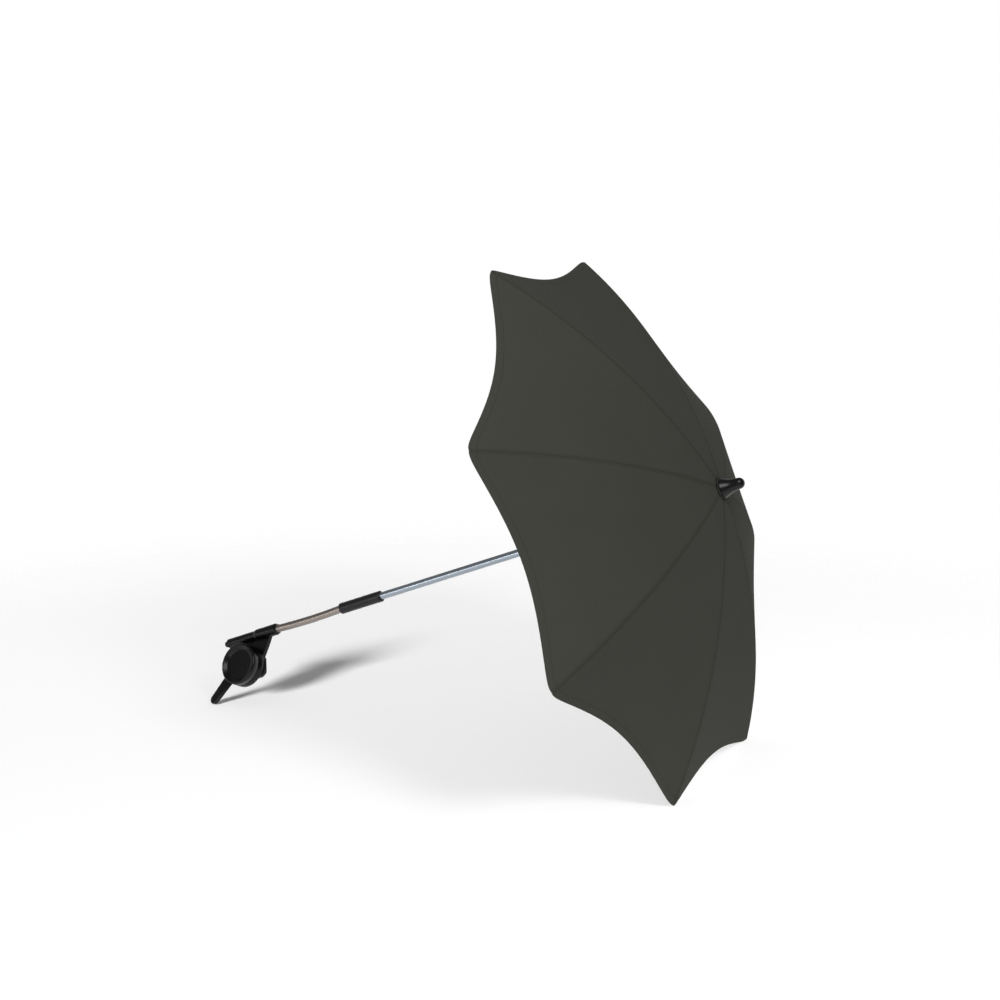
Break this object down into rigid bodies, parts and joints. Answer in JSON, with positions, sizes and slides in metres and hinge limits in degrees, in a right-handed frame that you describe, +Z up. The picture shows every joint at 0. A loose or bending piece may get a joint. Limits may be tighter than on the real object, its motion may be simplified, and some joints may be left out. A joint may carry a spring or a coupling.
{
  "type": "pram parasol",
  "caption": "Clamp-on parasol for a pram: ribbed folding canopy with a scalloped hem on a slim tube, bendable neck, and a screw clamp with a lever knob that grips the pram's frame.",
  "frame": {"origin": "middle of the underside, on the floor that the open parasol lies on", "axes": "+Z up; +X along the floor from the clamp towards the canopy's ferrule"},
  "size_m": [0.7504, 0.6512, 0.6082],
  "materials": {
    "canopy_fabric": "plain-woven, matt",
    "black_plastic": "satin moulded",
    "tube_metal": "polished",
    "neck_metal": "satin nickel",
    "rib_metal": "black enamel",
    "wire_steel": "bright drawn",
    "grip_rubber": "matt"
  },
  "bodies": {
    "clamp": {"clamp_bracket": "black_plastic", "jaw_liner": "grip_rubber", "neck_plug": "neck_metal", "neck_lower": "neck_metal", "button_spring": "wire_steel"},
    "knob": {"clamp_knob": "black_plastic", "clamp_screw": "wire_steel"},
    "pad": {"pressure_pad": "black_plastic", "pad_facing": "grip_rubber"},
    "button": {"release_button": "black_plastic"},
    "neck_link": {"neck_middle": "neck_metal"},
    "pole": {"pole_tube": "tube_metal", "crown": "black_plastic", "crown_wire": "wire_steel", "crown_pin": "rib_metal", "canopy_top": "canopy_fabric", "ferrule": "black_plastic", "connector_sleeve": "black_plastic", "sleeve_pins": "rib_metal", "neck_fitting": "neck_metal", "neck_upper": "neck_metal"},
    "catch": {"catch_spring": "wire_steel"},
    "rib_1": {"rib_1": "rib_metal", "tip_cap_1": "canopy_fabric", "canopy_gore_1": "canopy_fabric"},
    "rib_2": {"rib_2": "rib_metal", "tip_cap_2": "canopy_fabric", "canopy_gore_2": "canopy_fabric"},
    "rib_3": {"rib_3": "rib_metal", "tip_cap_3": "canopy_fabric", "canopy_gore_3": "canopy_fabric"},
    "rib_4": {"rib_4": "rib_metal", "tip_cap_4": "canopy_fabric", "canopy_gore_4": "canopy_fabric"},
    "rib_5": {"rib_5": "rib_metal", "tip_cap_5": "canopy_fabric", "canopy_gore_5": "canopy_fabric"},
    "rib_6": {"rib_6": "rib_metal", "tip_cap_6": "canopy_fabric", "canopy_gore_6": "canopy_fabric"},
    "rib_7": {"rib_7": "rib_metal", "tip_cap_7": "canopy_fabric", "canopy_gore_7": "canopy_fabric"},
    "rib_8": {"rib_8": "rib_metal", "tip_cap_8": "canopy_fabric", "canopy_gore_8": "canopy_fabric"},
    "stretcher_1": {"stretcher_1": "rib_metal"},
    "stretcher_2": {"stretcher_2": "rib_metal"},
    "stretcher_3": {"stretcher_3": "rib_metal"},
    "stretcher_4": {"stretcher_4": "rib_metal"},
    "stretcher_5": {"stretcher_5": "rib_metal"},
    "stretcher_6": {"stretcher_6": "rib_metal"},
    "stretcher_7": {"stretcher_7": "rib_metal"},
    "stretcher_8": {"stretcher_8": "rib_metal"},
    "runner": {"runner": "black_plastic", "runner_wire": "wire_steel"}
  },
  "joints": [
    {"name": "neck_tilt", "type": "hinge", "parent": "clamp", "child": "neck_link", "pos_m": [-0.26203, 0, 0.11492], "axis": [0, -1, 0], "range_deg": [0, 75], "deforming": ["neck_lower"]},
    {"name": "neck_swing", "type": "hinge", "parent": "neck_link", "child": "pole", "pos_m": [-0.20845, 0, 0.13564], "axis": [0, 0, 1], "range_deg": [-60, 60], "deforming": ["neck_upper"]},
    {"name": "knob_turn", "type": "hinge", "parent": "clamp", "child": "knob", "pos_m": [-0.32757, -0.01839, 0.05089], "axis": [0.1637, 0.891, -0.4234], "range_deg": [0, 1260]},
    {"name": "pad_slide", "type": "slide", "parent": "clamp", "child": "pad", "axis": [0.1637, 0.891, -0.4234], "range_m": [0, 0.0071]},
    {"name": "button_press", "type": "slide", "parent": "clamp", "child": "button", "axis": [0.9327, 0, 0.3607], "range_m": [0, 0.004], "stiffness_N_per_m": 500, "springref_m": -0.003, "deforming": ["button_spring"]},
    {"name": "catch_press", "type": "slide", "parent": "pole", "child": "catch", "axis": [-0.3607, 0, 0.9327], "range_m": [0, 0.0033], "stiffness_N_per_m": 500, "springref_m": -0.003},
    {"name": "fold", "type": "hinge", "parent": "pole", "child": "rib_1", "pos_m": [0.34815, 0.00325, 0.34244], "axis": [-0.138, 0.9239, 0.3569], "range_deg": [0, 65.5], "deforming": ["canopy_gore_1", "canopy_gore_2", "canopy_gore_3", "canopy_gore_4", "canopy_gore_5", "canopy_gore_6", "canopy_gore_7", "canopy_gore_8", "catch_spring"]},
    {"name": "stretcher_1_fold", "type": "hinge", "parent": "rib_1", "child": "stretcher_1", "pos_m": [0.36699, 0.05932, 0.2046], "axis": [-0.138, 0.9239, 0.3569], "range_deg": [-131, 0]},
    {"name": "runner_fold", "type": "hinge", "parent": "stretcher_1", "child": "runner", "pos_m": [0.28819, 0.00325, 0.31925], "axis": [-0.138, 0.9239, 0.3569], "range_deg": [0, 65.5]},
    {"name": "rib_2_fold", "type": "hinge", "parent": "pole", "child": "rib_2", "pos_m": [0.34649, 0.00785, 0.34673], "axis": [-0.3332, 0.3827, 0.8617], "range_deg": [0, 65.5]},
    {"name": "stretcher_2_fold", "type": "hinge", "parent": "rib_2", "child": "stretcher_2", "pos_m": [0.33673, 0.14322, 0.28284], "axis": [-0.3332, 0.3827, 0.8617], "range_deg": [-131, 0]},
    {"name": "rib_3_fold", "type": "hinge", "parent": "pole", "child": "rib_3", "pos_m": [0.34415, 0.00785, 0.3528], "axis": [-0.3332, -0.3827, 0.8617], "range_deg": [0, 65.5]},
    {"name": "stretcher_3_fold", "type": "hinge", "parent": "rib_3", "child": "stretcher_3", "pos_m": [0.29395, 0.14322, 0.3935], "axis": [-0.3332, -0.3827, 0.8617], "range_deg": [-131, 0]},
    {"name": "rib_4_fold", "type": "hinge", "parent": "pole", "child": "rib_4", "pos_m": [0.34249, 0.00325, 0.35709], "axis": [-0.138, -0.9239, 0.3569], "range_deg": [0, 65.5]},
    {"name": "stretcher_4_fold", "type": "hinge", "parent": "rib_4", "child": "stretcher_4", "pos_m": [0.26369, 0.05932, 0.47175], "axis": [-0.138, -0.9239, 0.3569], "range_deg": [-131, 0]},
    {"name": "rib_5_fold", "type": "hinge", "parent": "pole", "child": "rib_5", "pos_m": [0.34249, -0.00325, 0.35709], "axis": [0.138, -0.9239, -0.3569], "range_deg": [0, 65.5]},
    {"name": "stretcher_5_fold", "type": "hinge", "parent": "rib_5", "child": "stretcher_5", "pos_m": [0.26369, -0.05932, 0.47175], "axis": [0.138, -0.9239, -0.3569], "range_deg": [-131, 0]},
    {"name": "rib_6_fold", "type": "hinge", "parent": "pole", "child": "rib_6", "pos_m": [0.34415, -0.00785, 0.3528], "axis": [0.3332, -0.3827, -0.8617], "range_deg": [0, 65.5]},
    {"name": "stretcher_6_fold", "type": "hinge", "parent": "rib_6", "child": "stretcher_6", "pos_m": [0.29395, -0.14322, 0.3935], "axis": [0.3332, -0.3827, -0.8617], "range_deg": [-131, 0]},
    {"name": "rib_7_fold", "type": "hinge", "parent": "pole", "child": "rib_7", "pos_m": [0.34649, -0.00785, 0.34673], "axis": [0.3332, 0.3827, -0.8617], "range_deg": [0, 65.5]},
    {"name": "stretcher_7_fold", "type": "hinge", "parent": "rib_7", "child": "stretcher_7", "pos_m": [0.33673, -0.14322, 0.28284], "axis": [0.3332, 0.3827, -0.8617], "range_deg": [-131, 0]},
    {"name": "rib_8_fold", "type": "hinge", "parent": "pole", "child": "rib_8", "pos_m": [0.34815, -0.00325, 0.34244], "axis": [0.138, 0.9239, -0.3569], "range_deg": [0, 65.5]},
    {"name": "stretcher_8_fold", "type": "hinge", "parent": "rib_8", "child": "stretcher_8", "pos_m": [0.36699, -0.05932, 0.2046], "axis": [0.138, 0.9239, -0.3569], "range_deg": [-131, 0]}
  ],
  "couplings": [
    {"joint": "pad_slide", "follows": "knob_turn", "m_per_rad": 0.00031831},
    {"joint": "stretcher_1_fold", "follows": "fold", "ratio": -2},
    {"joint": "runner_fold", "follows": "fold", "ratio": 1},
    {"joint": "rib_2_fold", "follows": "fold", "ratio": 1},
    {"joint": "stretcher_2_fold", "follows": "fold", "ratio": -2},
    {"joint": "rib_3_fold", "follows": "fold", "ratio": 1},
    {"joint": "stretcher_3_fold", "follows": "fold", "ratio": -2},
    {"joint": "rib_4_fold", "follows": "fold", "ratio": 1},
    {"joint": "stretcher_4_fold", "follows": "fold", "ratio": -2},
    {"joint": "rib_5_fold", "follows": "fold", "ratio": 1},
    {"joint": "stretcher_5_fold", "follows": "fold", "ratio": -2},
    {"joint": "rib_6_fold", "follows": "fold", "ratio": 1},
    {"joint": "stretcher_6_fold", "follows": "fold", "ratio": -2},
    {"joint": "rib_7_fold", "follows": "fold", "ratio": 1},
    {"joint": "stretcher_7_fold", "follows": "fold", "ratio": -2},
    {"joint": "rib_8_fold", "follows": "fold", "ratio": 1},
    {"joint": "stretcher_8_fold", "follows": "fold", "ratio": -2}
  ]
}
